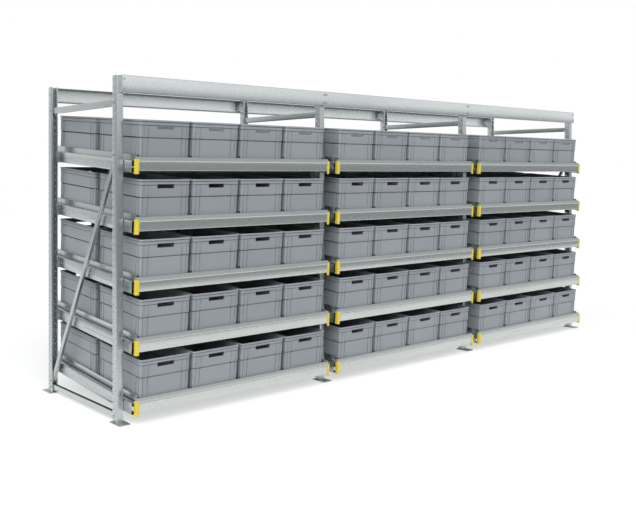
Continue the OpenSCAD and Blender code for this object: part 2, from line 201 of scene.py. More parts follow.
def bent_path(corners, thickness, bend, steps=4):
    """Both sides of a folded sheet. Each fold is an arc that touches its two legs, with the bend as its inner
    radius, one for all folds or one for each; the second side lies one thickness to the right of the first,
    square to it at every point."""
    corners = np.array(corners, float)
    bends = np.broadcast_to(bend, len(corners) - 2)
    points, normals = [corners[:1]], [right_of(corners[1] - corners[0])[None]]
    for before, fold, after, inner in zip(corners, corners[1:], corners[2:], bends):
        into, out = right_of(fold - before), right_of(after - fold)
        turn = atan2(into[0] * out[1] - into[1] * out[0], into @ out)
        side = 1.0 if turn > 0 else -1.0
        radius = inner if turn > 0 else inner + thickness
        angle = np.linspace(0, turn, steps + 1) if abs(turn) > tiny else np.zeros(1)
        cosines, sines = np.cos(angle), np.sin(angle)
        swing = np.column_stack([into[0] * cosines - into[1] * sines, into[0] * sines + into[1] * cosines])
        centre = fold - (into + out) / (1 + into @ out) * radius * side
        points.append(centre + swing * radius * side)
        normals.append(swing)
    points.append(corners[-1:])
    normals.append(right_of(corners[-1] - corners[-2])[None])
    first = np.vstack(points)
    return first, first + thickness * np.vstack(normals)


def folded_sheet(corners, stations, thickness, bend, columns=(), hole=0.0, fold_steps=4):
    """A folded sheet carried along a straight line: its section, repeated at every station, is joined by
    quads and closed at both ends. A column is a point of the section and the stations that are centres of its
    round holes: there twelve points on the circle replace the wall between the stations before and after, on
    both sides. Returns points (along, across, up), and faces in arrays of like corner counts."""
    first, second = bent_path(corners, thickness, bend, fold_steps)
    section = np.vstack([first, second[::-1]])
    count, last = len(section), len(first) - 1
    points = [np.column_stack([np.repeat(stations, count), np.tile(section, (len(stations), 1))])]
    ids = np.arange(len(stations) * count).reshape(len(stations), count)
    turned = np.roll(ids, -1, axis=1)
    walls = np.stack([ids[:-1], turned[:-1], turned[1:], ids[1:]], axis=-1)
    kept = np.ones(walls.shape[:2], bool)
    k = np.arange(last)
    faces = [
        np.column_stack([row[k], row[k + 1], row[count - 2 - k], row[count - 1 - k]]) for row in ids[[0, -1]]
    ]
    used = ids.size
    angle = np.arange(hole_sides) * 2 * pi / hole_sides
    for centre, middles in columns:
        middles = np.array(middles)
        legs = first[1:] - first[:-1]
        length = np.maximum(np.hypot(*legs.T), tiny)
        share = np.clip(((np.array(centre) - first[:-1]) * legs).sum(1) / length**2, 0, 1)
        leg = np.argmin(np.hypot(*(first[:-1] + share[:, None] * legs - np.array(centre)).T))
        way, inward = legs[leg] / length[leg], thickness * right_of(legs[leg])
        rings = []
        for depth, near, far in ((0, leg, leg + 1), (1, count - 1 - leg, count - 2 - leg)):
            ring = np.array(centre) + depth * inward + hole * np.cos(angle)[:, None] * way
            along = np.array(stations)[middles][:, None] + hole * np.sin(angle)
            ring_points = np.column_stack([along.ravel(), np.tile(ring, (len(middles), 1))])
            ring_ids = used + np.arange(len(ring_points)).reshape(len(middles), hole_sides)
            used += len(ring_points)
            low, high = middles - 1, middles + 1
            edge = np.column_stack(
                [
                    ids[middles, far], ids[high, far], ids[high, near],
                    ids[middles, near], ids[low, near], ids[low, far],
                ]
            )
            near_ring, mid_ring = ring_ids[:, 0::2], ring_ids[:, 1::2]
            next_edge, next_ring = np.roll(edge, -1, axis=1), np.roll(near_ring, -1, axis=1)
            fans = (edge, mid_ring, near_ring), (edge, next_edge, mid_ring), (next_edge, next_ring, mid_ring)
            faces += [np.stack(fan, axis=-1).reshape(-1, 3) for fan in fans]
            cell = min(near, far)
            kept[low, cell] = kept[middles, cell] = False
            points.append(ring_points)
            rings.append(ring_ids)
        around = [np.roll(ring, -1, axis=1) for ring in rings]
        faces.append(np.stack([rings[0], around[0], around[1], rings[1]], axis=-1).reshape(-1, 4))
    faces.append(walls[kept])
    return np.vstack(points), faces


def copies(points, faces, offsets):
    """The same shape at several offsets."""
    places = np.atleast_2d(np.array(offsets, float))
    moved = (points[None] + places[:, None]).reshape(-1, 3)
    starts = len(points) * np.arange(len(places))[:, None, None]
    return moved, [(part + starts).reshape(-1, part.shape[1]) for part in faces]


def together(*shapes):
    """Several shapes as one set of points and faces."""
    starts = np.cumsum([0, *(len(points) for points, _ in shapes)])
    faces = [part + start for start, (_, shape) in zip(starts, shapes) for part in shape]
    return np.vstack([points for points, _ in shapes]), faces


def closed_mesh(name, points, faces, material, sharp=35, **marks):
    """A mesh of closed solids: seams are merged, faces turned outwards, and only sharp edges left hard. Marks
    are values at the points for the material to read, given once for every copy of a shape."""
    mesh = bpy.data.meshes.new(name)
    mesh.from_pydata(points, [], [face for part in faces for face in part.tolist()])
    for mark, values in marks.items():
        attribute = mesh.attributes.new(mark, "FLOAT", "POINT")
        attribute.data.foreach_set("value", np.tile(values, len(points) // len(values)))
    shape = bmesh.new()
    shape.from_mesh(mesh)
    bmesh.ops.remove_doubles(shape, verts=shape.verts, dist=tiny)
    bmesh.ops.recalc_face_normals(shape, faces=shape.faces)
    shape.to_mesh(mesh)
    shape.free()
    mesh.shade_smooth()
    mesh.set_sharp_from_angle(angle=radians(sharp))
    mesh.materials.append(material)
    return mesh


def place_piece(mesh, body, nodes):
    """An object at the origin that rides on a body, stands for CAD nodes and takes its finish from a slot."""
    piece = bpy.data.objects.new(mesh.name, mesh)
    bpy.context.scene.collection.objects.link(piece)
    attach(piece, body)
    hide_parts(*nodes)
    return piece


def inside_marks(section):
    """1 at the points of a folded piece's inner side, nearly a sheet or more within its outline, else 0."""
    depth = inner_share * post_t
    within = (section > section.min(0) + depth) & (section < section.max(0) - depth)
    return within.all(axis=1).astype(float)


def upright():
    """A front upright with its face at Y 0: columns of holes stand at every second station on each wall."""
    half, inner_column = post_w / 2, post_d - column_inset
    holes = int((rack_h - lowest_hole) / hole_pitch)
    stations = [foot_z, *(lowest_hole + hole_pitch / 2 * np.arange(2 * holes + 1)), rack_h]
    corners = [
        (half - post_lip, post_d), (half, post_d), (half, post_d / 2), (half, 0),
        (-half, 0), (-half, post_d / 2), (-half, post_d), (post_lip - half, post_d),
    ]
    outer, inner = 2 * np.arange(holes) + 1, 2 * np.arange(holes) + 2
    columns = [
        ((x, y), middles)
        for x in (half, -half)
        for y, middles in ((column_inset, outer), (inner_column, inner))
    ]
    points, faces = folded_sheet(corners, stations, post_t, bend_r, columns, hole_r)
    return points[:, [1, 2, 0]], faces


upright_zinc = galvanised("upright_zinc", upright_colour, upright_grain)
post_points, post_faces = upright()
front_posts = copies(post_points, post_faces, [(x, front_y, 0) for x in post_x])
rear_posts = copies(post_points * (1, -1, 1), post_faces, [(x, rear_y, 0) for x in post_x])
post_inside = inside_marks(post_points[:, :2])
for name, shape, painted_shade_strength in (("front", front_posts, front_painted_shade), ("rear", rear_posts, rear_painted_shade)):
    mesh = closed_mesh(f"{name}_posts", *shape, upright_zinc, inside=painted_shade_strength * post_inside)
    place_piece(mesh, "rack", [f"{name}_uprights"])


# Frame braces: U-sections folded from galvanised sheet, bolted between the lips of a front and a rear
# upright. Each frame has a low and a high horizontal one and a long diagonal from the rear foot up to the
# front. The diagonal's bolts sit half-way between holes, counted in pitches from the lowest hole.
brace_w, brace_h, diagonal_h, sheet_t = 0.026, 0.045, 0.030, 0.002
brace_tail, low_bolt_hole, high_bolt_hole = 0.020, 1.5, 35.5
brace_colour, brace_grain = (192, 196, 195), (14.0, 1.6, 5.0)
brace_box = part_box("horizontal_braces")


def u_section(height):
    """The corners of a U open at the top, as high as given."""
    half = brace_w / 2
    return [(half, height / 2), (half, -height / 2), (-half, -height / 2), (-half, height / 2)]


def brace(start, end, height):
    """A brace from one bolt to the other, given as (Y, Z) places, with a tail past each bolt."""
    run, climb = end[0] - start[0], end[1] - start[1]
    length = hypot(run, climb)
    stations = [-brace_tail, length + brace_tail]
    points, faces = folded_sheet(u_section(height), stations, sheet_t, bend_r)
    along, across, up = points.T
    lean, rise = run / length, climb / length
    y, z = start[0] + along * lean - up * rise, start[1] + along * rise + up * lean
    return np.column_stack([across, y, z]), faces


front_bolt_y = brace_box[0].y + brace_tail
rear_bolt_y = brace_box[1].y - brace_tail
brace_levels = (brace_box[0].z + brace_h / 2, brace_box[1].z - brace_h / 2)
low_bolt_z, high_bolt_z = (lowest_hole + hole * hole_pitch for hole in (low_bolt_hole, high_bolt_hole))
frame_offsets = [(x, 0, 0) for x in post_x]
brace_zinc = galvanised("brace_zinc", brace_colour, brace_grain)
levels = together(*(brace((front_bolt_y, z), (rear_bolt_y, z), brace_h) for z in brace_levels))
slope = brace((front_bolt_y, high_bolt_z), (rear_bolt_y, low_bolt_z), diagonal_h)
place_piece(
    closed_mesh("level_braces", *copies(*levels, frame_offsets), brace_zinc),
    "rack", ["horizontal_braces"],
)
place_piece(
    closed_mesh("sloping_braces", *copies(*slope, frame_offsets), brace_zinc),
    "rack", ["diagonal_braces"],
)


# Frame bolts: zinc-plated hexagon bolts with nuts, through the uprights and braces and through the top beams.
# The plating is thin and bright, with finer crystals than the hot-dipped sheet.
bolt_colour, bolt_grain = (176, 180, 184), (60.0, 60.0, 60.0)
bolt_zinc = galvanised(
    "bolt_zinc", bolt_colour, bolt_grain, crystals=320.0, roughness=(0.22, 0.36), spread=0.12, metallic=0.95
)
finish_node("frame_bolts", bolt_zinc)


# Top beams: deep C-sections folded from galvanised sheet, one across the front and one across the rear of
# every bay. Their open side faces the uprights, and they butt with a narrow seam at the uprights' centres.
top_beam_h, top_beam_d, top_beam_lip, beam_seam = 0.115, 0.038, 0.014, 0.001
beam_bend, tab_inset, beam_stations = 0.003, 0.001, 7
beam_colour, beam_grain = (214, 218, 219), (0.9, 9.0, 9.0)


def block(low, high):
    """A plain block between two corners."""
    sides = [[0, 1, 3, 2], [4, 6, 7, 5], [0, 4, 5, 1], [2, 3, 7, 6], [0, 2, 6, 4], [1, 5, 7, 3]]
    return np.array([*product(*zip(low, high))], float), [np.array(sides)]


def top_beam(facing):
    """A C-section along X for one bay, open against the uprights, with its ends closed by tabs; facing is -1
    at the front and 1 at the rear."""
    low, high, out = rack_h - top_beam_h, rack_h, facing * top_beam_d
    corners = [
        (0, low + top_beam_lip), (0, low), (out, low),
        (out, high), (0, high), (0, high - top_beam_lip),
    ]
    stations = np.linspace(beam_seam / 2, bay_w - beam_seam / 2, beam_stations)
    channel = folded_sheet(corners if facing < 0 else corners[::-1], stations, sheet_t, beam_bend)
    near, far = sorted((0.0, out))
    tabs = [
        block((x, near + tab_inset, low + tab_inset), (x + sheet_t, far - tab_inset, high - tab_inset))
        for x in (stations[0] + tab_inset / 2, stations[-1] - sheet_t - tab_inset / 2)
    ]
    return together(channel, *tabs)


beam_zinc = galvanised("beam_zinc", beam_colour, beam_grain)
bay_offsets = [(x, 0, 0) for x in post_x[:-1]]
for name, facing, wall_y in (("front", -1, front_y), ("rear", 1, rear_y)):
    points, faces = top_beam(facing)
    # The upper lip gets the same painted shade as the inside of an upright.
    shaded_upper_lip = (points[:, 2] > rack_h - top_beam_lip - sheet_t) & (facing * points[:, 1] < sheet_t / 2)
    shape = copies(points + (0, wall_y, 0), faces, bay_offsets)
    mesh = closed_mesh(f"top_{name}_rails", *shape, beam_zinc, inside=shaded_upper_lip.astype(float))
    place_piece(mesh, "rack", [f"top_{name}_beams"])


# Shelf side channels: C-sections that carry the two ends of every inclined shelf, hung on the uprights.
# Their webs face the uprights and have a row of holes all along, two of which take the shelf's bolts.
shelf_h, beam_d, beam_inset, beam_foot = 0.080, 0.030, 0.046, 0.013
channel_x, channel_w, channel_lip = 0.028, 0.031, 0.012
row_hole_r, row_steps, row_front, row_rear = 0.005, 28, 3, 2
bolt_z = 0.036
channel_colour, channel_grain = (192, 197, 198), (14.0, 1.4, 9.0)
tier_count = 5
slide = next(joint for joint in frame["joints"] if joint["type"] == "slide")
lane_axis = np.array(slide["axis"])
tilt = atan2(lane_axis[2], lane_axis[1])
channel_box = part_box("shelf_side_channels")
beam_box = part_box("shelf_front_beams")
stop_h, stop_flat = 0.028, 0.006
shelf_y = beam_box[0].y + shelf_h * sin(tilt)
first_shelf_z = beam_box[0].z - beam_foot * cos(tilt)
last_shelf_z = beam_box[1].z - (shelf_h + stop_h) * cos(tilt) - beam_d * sin(tilt)
shelf_z = np.linspace(first_shelf_z, last_shelf_z, tier_count)
shelf_l = (channel_box[1].y - shelf_y) / cos(tilt) + beam_d
bolt_front = (front_y + column_inset - shelf_y + bolt_z * sin(tilt)) / cos(tilt)
bolt_rear = bolt_front + (rear_y - front_y - post_d) / cos(tilt)


def on_slope(points):
    """Points of a shelf's own frame, X across, Y up the lane and Z square to it, leaned to the slope."""
    x, y, z = points.T
    return np.column_stack([x, y * cos(tilt) - z * sin(tilt), y * sin(tilt) + z * cos(tilt)])


def on_shelves(points, faces):
    """A shape of the shelf's own frame, copied to every tier of every bay."""
    offsets = [(x, shelf_y, z) for x in post_x[:-1] for z in shelf_z]
    return copies(on_slope(points), faces, offsets)


def both_sides(points, faces):
    """A shape at the left end of a bay and its mirror image at the right end."""
    return together((points, faces), (points * (-1, 1, 1) + (bay_w, 0, 0), faces))


def side_channel():
    """A C-section up the lane. Its row of holes counts whole pitches from the front bolt to the rear one and
    past both; the sheet is parted at every hole and half-way between holes."""
    far = channel_x + channel_w
    corners = [
        (far, channel_lip), (far, 0), (channel_x, 0),
        (channel_x, shelf_h), (far, shelf_h), (far, shelf_h - channel_lip),
    ]
    places = np.linspace(bolt_front, bolt_rear, row_steps + 1)
    pitch = places[1] - places[0]
    first, count = places[0] - row_front * pitch, row_front + row_steps + 1 + row_rear
    stations = [beam_d, *(first + pitch / 2 * np.arange(2 * count - 1)), shelf_l - beam_d]
    row = [((channel_x, bolt_z), 2 * np.arange(count) + 1)]
    points, faces = folded_sheet(corners, stations, sheet_t, beam_bend, row, row_hole_r, fold_steps=2)
    return points[:, [1, 0, 2]], faces


channel_zinc = galvanised("channel_zinc", channel_colour, channel_grain)
channel_points, channel_faces = side_channel()
# The inner side of the channels takes the same painted shade as the uprights'.
channel_mesh = closed_mesh(
    "side_channels", *on_shelves(*both_sides(channel_points, channel_faces)), channel_zinc,
    inside=inside_marks(channel_points[:, ::2]),
)
place_piece(channel_mesh, "rack", ["shelf_side_channels"])


# Shelf beams: galvanised sheet folded lengthwise. The front one leans back at its top to a stop lip that
# holds the first bin; the rear one stays low, because bins are loaded over it. A ledge behind carries the
# lanes.
beam_return, ledge_l, ledge_z, ledge_clear = 0.012, 0.028, 0.036, 0.001
rear_h, lip_bend = 0.0798, 0.014
shelf_beam_colour, shelf_beam_grain = (205, 208, 206), (0.8, 9.0, 9.0)


def shelf_beam(corners, bends):
    """A beam along X on its folded section, and its ledge, which stops short of the side channels."""
    ledge_start = channel_x + channel_w + ledge_clear
    stations = np.linspace(beam_inset, bay_w - beam_inset, beam_stations)
    face = folded_sheet(corners, stations, sheet_t, bends)
    shelf = [(beam_d - sheet_t, ledge_z), (beam_d + ledge_l, ledge_z)]
    ledge = folded_sheet(shelf, [ledge_start, bay_w - ledge_start], sheet_t, beam_bend)
    return together(face, ledge)


front_corners = [
    (beam_d, beam_foot + beam_return), (beam_d, beam_foot), (0, beam_foot), (0, shelf_h),
    (beam_d - stop_flat, shelf_h + stop_h), (beam_d, shelf_h + stop_h), (beam_d, ledge_z),
]
rear_corners = [
    (beam_d, beam_foot + beam_return), (beam_d, beam_foot), (0, beam_foot),
    (0, rear_h), (beam_d, rear_h), (beam_d, ledge_z),
]
shelf_beam_zinc = galvanised("shelf_beam_zinc", shelf_beam_colour, shelf_beam_grain)
front_beam = shelf_beam(front_corners, (beam_bend, beam_bend, lip_bend, beam_bend, beam_bend))
rear_points, rear_faces = shelf_beam(rear_corners, beam_bend)
rear_beam = (rear_points * (1, -1, 1) + (0, shelf_l, 0), rear_faces)
for name, shape in (("front", front_beam), ("rear", rear_beam)):
    mesh = closed_mesh(f"{name}_shelf_rails", *on_shelves(*shape), shelf_beam_zinc)
    place_piece(mesh, "rack", [f"shelf_{name}_beams"])


# End caps: yellow moulded angles pushed over the ends of every front beam, to guard hands against cut edges.
# The plastic is plain and slightly glossy, with a fine spark texture and rounded edges.
cap_l, cap_h, cap_drop = 0.024, 0.100, 0.007
cap_t, cap_bend, cap_edge = 0.002, 0.002, 0.0008
cap_colour, cap_shade = (246, 226, 84), (238, 212, 64)
gloss_spread = 0.06


def plastic(name, colour, shade, roughness, texture):
    """Moulded plastic: two close colours mixed by soft clouds, with a fine sparked texture in the gloss."""
    material, tree = new_material(name)
    place = add_node(tree, "TexCoord").outputs["Object"]
    clouds = add_node(tree, "TexNoise", {"Vector": place, "Scale": 14.0, "Detail": 3.0})
    sparks = add_node(tree, "TexNoise", {"Vector": place, "Scale": texture, "Detail": 1.0})
    mixed = mixed_colour(tree, clouds.outputs["Fac"], screen_colour(*shade), screen_colour(*colour))
    low, high = roughness - gloss_spread, roughness + gloss_spread
    rough = add_node(tree, "MapRange", {"Value": sparks.outputs["Fac"], "To Min": low, "To Max": high})
    bump = add_node(tree, "Bump", {"Height": sparks.outputs["Fac"], "Strength": 0.1, "Distance": 0.0002})
    shader = add_node(
        tree, "BsdfPrincipled",
        {"Base Color": mixed, "Roughness": rough.outputs[0], "Normal": bump.outputs[0]},
    )
    add_node(tree, "OutputMaterial", {"Surface": shader.outputs[0]})
    return material


cap_corners = [(beam_inset, beam_d - cap_t), (beam_inset, 0), (beam_inset - cap_t + cap_l, 0)]
cap_points, cap_faces = folded_sheet(cap_corners, [-cap_drop, cap_h - cap_drop], cap_t, cap_bend)
cap_shape = on_shelves(*both_sides(cap_points[:, [1, 2, 0]], cap_faces))
cap_plastic = plastic("yellow_moulding", cap_colour, cap_shade, roughness=0.42, texture=700.0)
cap_mesh = closed_mesh("yellow_caps", *cap_shape, cap_plastic)
caps = place_piece(cap_mesh, "rack", ["shelf_end_caps"])
rounding = caps.modifiers.new("rounded_edges", "BEVEL")
rounding.width = cap_edge
rounding.segments = 2
rounding.limit_method = "ANGLE"
rounding.angle_limit = radians(50)


# Shelf brackets and bolts: zinc-plated angles between every upright and side channel, one bolt through each.
# They hang the shelf from the uprights' holes, with a foot under the channel.
bracket_colour, bracket_grain = (184, 188, 190), (30.0, 30.0, 30.0)
bracket_zinc = galvanised(
    "bracket_zinc", bracket_colour, bracket_grain, crystals=260.0, roughness=(0.26, 0.42), spread=0.12
)
finish_node("shelf_brackets", bracket_zinc)
finish_node("shelf_bolts", bolt_zinc)


# Lane rails: narrow inverted U-sections of galvanised sheet between the lanes, resting on the beams' ledges.
# The rollers' axles sit in their punched holes, and their upper part guides the bins.
rail_colour, rail_grain = (190, 194, 194), (14.0, 1.4, 9.0)
finish_node("lane_rails", galvanised("rail_zinc", rail_colour, rail_grain))


# Rollers: moulded dark grey plastic tubes on stub axles, one across each lane at every axis.
# Bins polish them, so they are smoother than the bins themselves.
roller_rows = 6
roller_colour, roller_shade = (98, 101, 106), (84, 87, 92)
roller_plastic = plastic("roller_moulding", roller_colour, roller_shade, roughness=0.38, texture=500.0)
for tier in range(1, tier_count + 1):
    for row in range(1, roller_rows + 1):
        finish_node(f"rollers_tier_{tier}_row_{row}", roller_plastic)


# Bins: injection-moulded grey plastic boxes for stacking, four lanes wide and two deep on every shelf.
# Each has a projecting rim, a band and a step round its wall, ribs beside the corners and two hand slots,
# and stands on two runners.
bin_w, bin_l, bin_r = 0.400, 0.600, 0.022
stop_gap, bin_gap, lane_gap, bin_z = 0.0005, 0.066, 0.013, 0.0848
runner_w, runner_h, runner_spacing, runner_end, runner_sunk = 0.024, 0.006, 0.220, 0.030, 0.002
lane_count, bins_deep = 4, 2
side_space = (bay_w - lane_count * (bin_w + lane_gap)) / 2
rib_places, rib_w, rib_flank, crease_w = (0.032, 0.068), 0.006, 0.0012, 0.003
slot_w = 0.130
bin_colour, bin_scuff = (159, 165, 171), (186, 190, 194)
# Heights and insets from the rim in millimetres, how far the ribs stand out there, and the shares of wear and
# of painted shade in the creases
outer_wall = [
    (6, 17, 0, 0.2, 0.6), (6.6, 13.5, 0, 0.5, 0), (8.4, 11.2, 0, 0.6, 0), (12, 10.4, 0, 0.3, 0),
    (15, 10.2, 4, 0.1, 0), (145, 10, 4, 0, 0), (146.5, 13, 2, 0, 1), (152, 13, 2, 0, 1),
    (153, 6.4, 2.2, 0.4, 0), (155, 6, 2.2, 0.2, 0), (210, 6, 2.2, 0, 0), (229.5, 6, 2.2, 0, 0),
    (230.5, 9, 1.5, 0, 0.9), (233.5, 9, 1.5, 0, 0.9), (234.5, 4.6, 0.8, 0.4, 0), (236, 4.2, 0.8, 0.1, 0),
    (238, 4.2, 0.8, 0, 0), (254, 4.2, 0.8, 0, 0), (255, 8, 0, 0, 0.9), (257.8, 8, 0, 0, 0.9),
    (258.4, 0.8, 0, 0.5, 0), (259.6, 0, 0, 0.4, 0), (267.6, 0, 0, 0.4, 0), (269.3, 0.7, 0, 0.8, 0),
    (270, 2.4, 0, 0.7, 0),
]
inner_wall = [
    (270, 10.8, 0, 0.6, 0), (269.4, 12.4, 0, 0.5, 0), (268, 13, 0, 0.2, 0), (238, 13, 0, 0, 0),
    (210, 13, 0, 0, 0), (18, 13, 0, 0, 0), (12.5, 14.5, 0, 0, 0.5), (10, 19, 0, 0, 0.5),
]
slot_low, slot_high = 210, 238
corner_steps, least_reach, rib_wear, creased_rib = 5, 0.0005, 0.5, 0.001
bin_spread, tint_share, tint_seed = 0.1, 0.5, 7
# The last two values set the painted shade in the creases: how much is mixed in, and how dark it is.
scuff_strength, crease_shade, crease_shadow_share = 0.55, 0.75, 0.16


def side_marks(length, slot=0.0):
    """Places along a straight side where its surface changes, the share of a rib's height at each, and 1 at
    the foot of a rib's flanks, where the crease is and where painted shade darkens it."""
    centres = np.array([end * (length / 2 - place) for end in (-1, 1) for place in rib_places])
    flank = np.array([rib_w / 2, rib_w / 2 + rib_flank, rib_w / 2 + rib_flank + crease_w])
    marks = (centres[:, None] + np.concatenate([-flank[::-1], flank])).ravel()
    shares = np.tile([0.0, 0.0, 1.0, 1.0, 0.0, 0.0], len(centres))
    feet = np.tile([0.0, 1.0, 0.0, 0.0, 1.0, 0.0], len(centres))
    ends = np.array([-slot / 2, slot / 2]) if slot else np.zeros(0)
    plain = np.zeros(len(ends))
    order = np.argsort(np.concatenate([marks, ends]))
    return [np.concatenate(pair)[order] for pair in ((marks, ends), (shares, plain), (feet, plain))]


def rim_loop():
    """The rim seen from above, as the centres and directions from which every wall is set out at one corner
    radius less its inset: straight sides go out squarely, and the corners turn in equal steps."""
    centres, ways, shares, feet = [], [], [], []
    turns = np.linspace(0, pi / 2, corner_steps + 1)[:, None]
    for quarter, (length, depth, slot) in enumerate([(bin_w, bin_l, slot_w), (bin_l, bin_w, 0.0)] * 2):
        turn = quarter * pi / 2
        along = np.array([cos(turn), sin(turn)])
        out = np.array([sin(turn), -cos(turn)])
        marks, share, foot = side_marks(length, slot)
        corner = along * (length / 2 - bin_r) + out * (depth / 2 - bin_r)
        centres += [out * (depth / 2 - bin_r) + marks[:, None] * along, np.tile(corner, (len(turns), 1))]
        ways += [np.tile(out, (len(marks), 1)), out * np.cos(turns) + along * np.sin(turns)]
        shares += [share, np.zeros(len(turns))]
        feet += [foot, np.zeros(len(turns))]
    return np.vstack(centres), np.vstack(ways), np.concatenate(shares), np.concatenate(feet)


def grey_bin():
    """One bin about its own bottom centre: a loop round the rim and a line up the outer wall, over the rim
    and down the inner wall make a grid. A point lies on its way from its centre, by the radius less the inset
    of its height. The cells of both hand slots are left out and the slots' edges closed. Also gives every
    point's wear and its share of painted shade in the creases."""
    centres, ways, shares, feet = rim_loop()
    height, inset, rib, worn, groove = (np.array([*outer_wall, *inner_wall]) / (1000, 1000, 1000, 1, 1)).T
    reach = np.maximum(bin_r - inset[:, None] + shares * rib[:, None], least_reach)
    flat = centres + reach[:, :, None] * ways
    points = np.concatenate([flat, np.broadcast_to(height[:, None, None], (*reach.shape, 1))], axis=2)
    rows, around = reach.shape
    ids = np.arange(rows * around).reshape(rows, around)
    turned = np.roll(ids, -1, axis=1)
    cells = np.stack([ids[:-1], turned[:-1], turned[1:], ids[1:]], axis=-1)
    kept = np.ones(cells.shape[:2], bool)
    levels = np.round(height * 1000, 3)
    low, high = (np.flatnonzero(levels == level) for level in (slot_low, slot_high))
    ends = np.flatnonzero(np.isclose(np.abs(centres @ (1, 0)), slot_w / 2))
    faces = []
    for start in ends[::2]:
        kept[low[0]:high[0], start] = False
        kept[high[1]:low[1], start] = False
        for row_out, row_in in (low, high):
            faces.append(ids[[[row_out, row_out, row_in, row_in]], [[start, start + 1, start + 1, start]]])
        for end in (start, start + 1):
            faces.append(np.array([[*ids[low[0]:high[0] + 1, end], ids[high[1], end], ids[low[1], end]]]))
    faces += [cells[kept], ids[:1, ::-1], ids[-1:]]
    wear = np.maximum(worn[:, None], rib_wear * shares * (rib > 0)[:, None])
    crease = np.maximum(groove[:, None], feet * (rib > creased_rib)[:, None])
    return points.reshape(-1, 3), faces, wear.ravel(), crease.ravel()


def scuff_group():
    """Pale scuffs of worn plastic: long scratches and rubbed spots, strongest where the edge is worn."""
    tree, given, result = effect_group(
        "scuffs", {"Place": "Vector", "Worn": "Float"}, {"Mask": "Float", "Clouds": "Float"}
    )
    place = given.outputs["Place"]
    drawn = add_node(tree, "Mapping", {"Vector": place, "Scale": (9.0, 9.0, 160.0)})
    scratches = add_node(tree, "TexNoise", {"Vector": drawn.outputs[0], "Scale": 1.0, "Detail": 6.0})
    thin = add_node(
        tree, "MapRange",
        {"Value": scratches.outputs["Fac"], "From Min": 0.62, "From Max": 0.75, "To Max": 0.3},
    )
    spots = add_node(tree, "TexNoise", {"Vector": place, "Scale": 55.0, "Detail": 5.0})
    rubbed = add_node(tree, "MapRange", {"Value": spots.outputs["Fac"], "From Min": 0.35, "From Max": 0.7})
    edges = add_node(
        tree, "Math", {0: rubbed.outputs[0], 1: given.outputs["Worn"]}, operation="MULTIPLY", use_clamp=True
    )
    mask = add_node(
        tree, "Math", {0: edges.outputs[0], 1: thin.outputs[0]}, operation="MAXIMUM", use_clamp=True
    )
    clouds = add_node(tree, "TexNoise", {"Vector": place, "Scale": 5.0, "Detail": 3.0})
    tree.links.new(mask.outputs[0], result.inputs["Mask"])
    tree.links.new(clouds.outputs["Fac"], result.inputs["Clouds"])
    return tree


def bin_plastic():
    """Grey polypropylene: every bin has its own slight tint, clouds vary its tone, scuffs whiten its edges,
    painted shade darkens its creases, and a fine moulded texture breaks the gloss."""
    material, tree = new_material("bin_grey")
    place = add_node(tree, "TexCoord").outputs["Object"]
    worn, tint, crease = (
        add_node(tree, "Attribute", attribute_name=mark).outputs["Fac"] for mark in ("worn", "tint", "crease")
    )
    scuffs = add_node(tree, "Group", {"Place": place, "Worn": worn}, node_tree=scuff_group())
    grey = np.array(screen_colour(*bin_colour))[:3]
    dark, light, crease_shadow = ((*(grey * share), 1.0) for share in (1 - bin_spread, 1 + bin_spread, crease_shadow_share))
    shade = weighted_sum(tree, [(scuffs.outputs["Clouds"], 1 - tint_share), (tint, tint_share)])
    whitened = add_node(tree, "Math", {0: scuffs.outputs["Mask"], 1: scuff_strength}, operation="MULTIPLY")
    # Painted shade in the creases: a much darker grey is mixed in where the crease mark is.
    crease_shading = add_node(tree, "Math", {0: crease, 1: crease_shade}, operation="MULTIPLY")
    mixed = mixed_colour(tree, shade, dark, light)
    mixed = mixed_colour(tree, whitened.outputs[0], mixed, screen_colour(*bin_scuff))
    mixed = mixed_colour(tree, crease_shading.outputs[0], mixed, crease_shadow)
    rough = add_node(tree, "MapRange", {"Value": scuffs.outputs["Mask"], "To Min": 0.42, "To Max": 0.62})
    grain = add_node(tree, "TexNoise", {"Vector": place, "Scale": 1100.0, "Detail": 1.0})
    bump = add_node(tree, "Bump", {"Height": grain.outputs["Fac"], "Strength": 0.08, "Distance": 0.0002})
    shader = add_node(
        tree,
        "BsdfPrincipled",
        {"Base Color": mixed, "Roughness": rough.outputs[0], "Normal": bump.outputs[0]},
    )
    add_node(tree, "OutputMaterial", {"Surface": shader.outputs[0]})
    return material


def runner(side):
    """A runner under the floor of a bin, on the side given, let into the floor by a little."""
    middle, reach = side * runner_spacing / 2, bin_l / 2 - runner_end
    low = (middle - runner_w / 2, -reach, 0)
    return block(low, (middle + runner_w / 2, reach, runner_h + runner_sunk))


shell_points, shell_faces, *shell_marks = grey_bin()
runners = together(runner(-1), runner(1))
bin_points, bin_faces = together((shell_points, shell_faces), runners)
bin_wear, bin_crease = (np.concatenate([mark, np.zeros(len(runners[0]))]) for mark in shell_marks)
bin_places = [
    (
        side_space + (lane + 0.5) * (bin_w + lane_gap),
        beam_d + stop_gap + bin_l / 2 + deep * (bin_l + bin_gap),
        bin_z,
    )
    for lane in range(lane_count)
    for deep in range(bins_deep)
]
group_points, group_faces = copies(bin_points, bin_faces, bin_places)
bins_mesh = closed_mesh(
    "bins", on_slope(group_points), group_faces, bin_plastic(), sharp=28, worn=bin_wear, crease=bin_crease
)
rest = np.zeros(len(bins_mesh.vertices) * 3)
bins_mesh.vertices.foreach_get("co", rest)
bins_mesh.attributes.new("tint", "FLOAT", "POINT")
tints = np.random.default_rng(tint_seed).uniform(0, 1, (bay_count, tier_count, len(bin_places)))
